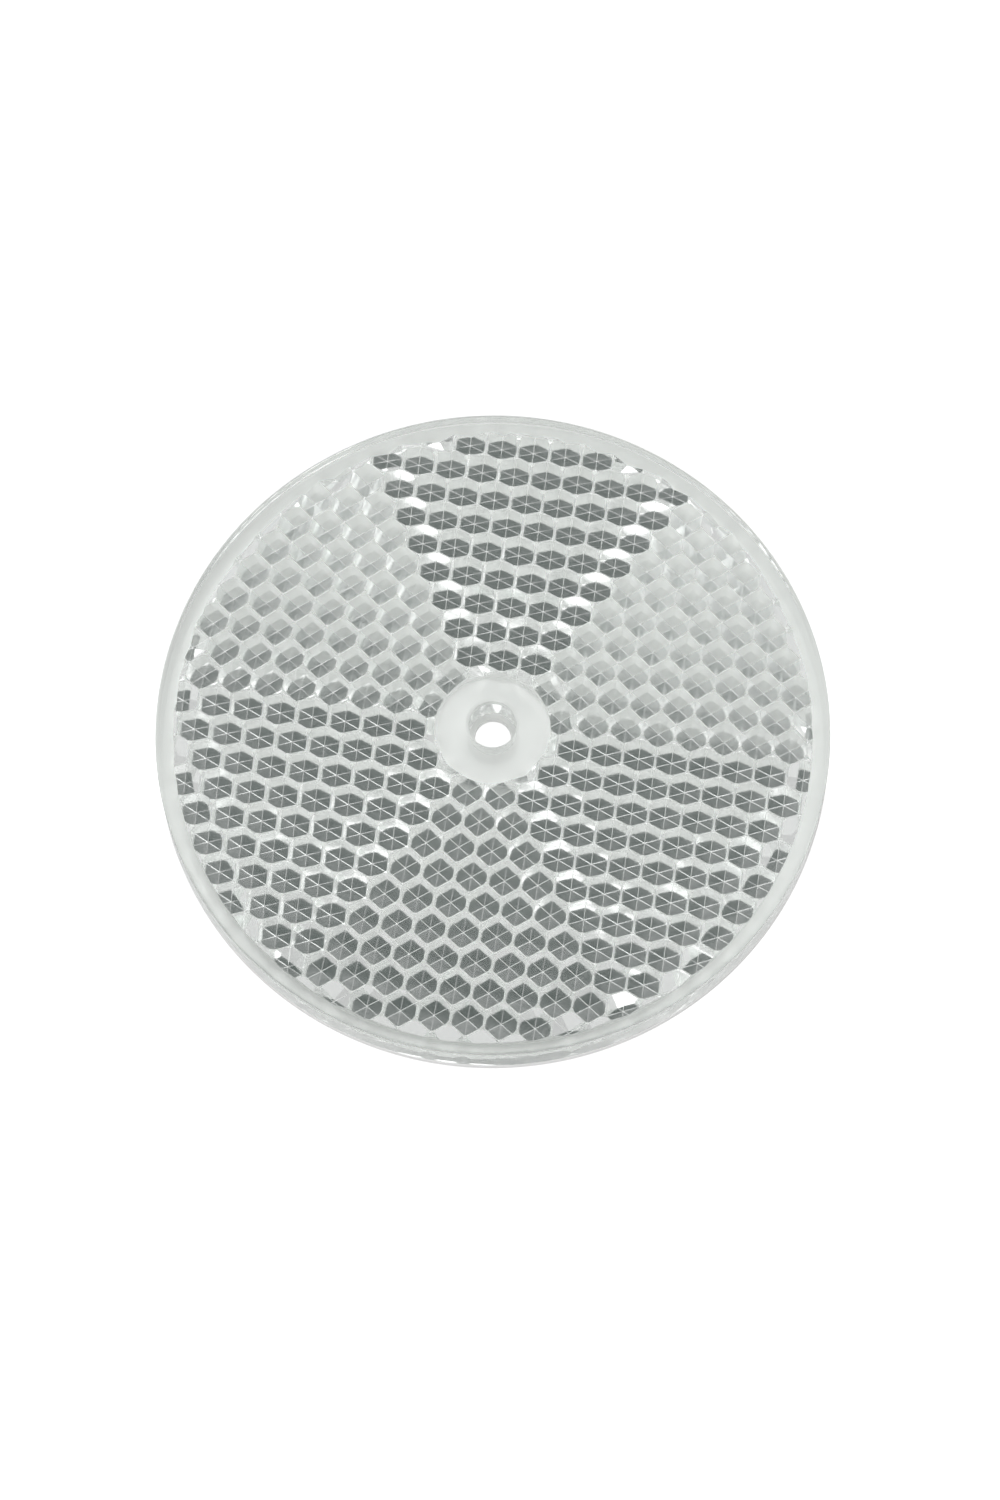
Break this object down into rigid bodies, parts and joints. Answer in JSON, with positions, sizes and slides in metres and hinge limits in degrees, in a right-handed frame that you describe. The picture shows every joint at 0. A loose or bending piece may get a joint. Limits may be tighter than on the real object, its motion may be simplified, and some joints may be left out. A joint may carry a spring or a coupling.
{
  "type": "round prismatic reflector",
  "caption": "Round clear prismatic retroreflector disc with a solid hub and a central screw hole, closed behind by a white cover.",
  "frame": {"origin": "on the disc's axis, in the plane of the flat back that goes against the mounting surface", "axes": "+Z along the disc's axis, from the back towards the light; +X along a row of prisms"},
  "size_m": [0.084, 0.084, 0.0065],
  "materials": {
    "lens": "clear moulded acrylic, polished front, optically smooth prisms",
    "back_cover": "white moulded plastic with a fine satin texture"
  },
  "bodies": {
    "root": {"lens": "lens", "back_cover": "back_cover"}
  },
  "joints": []
}
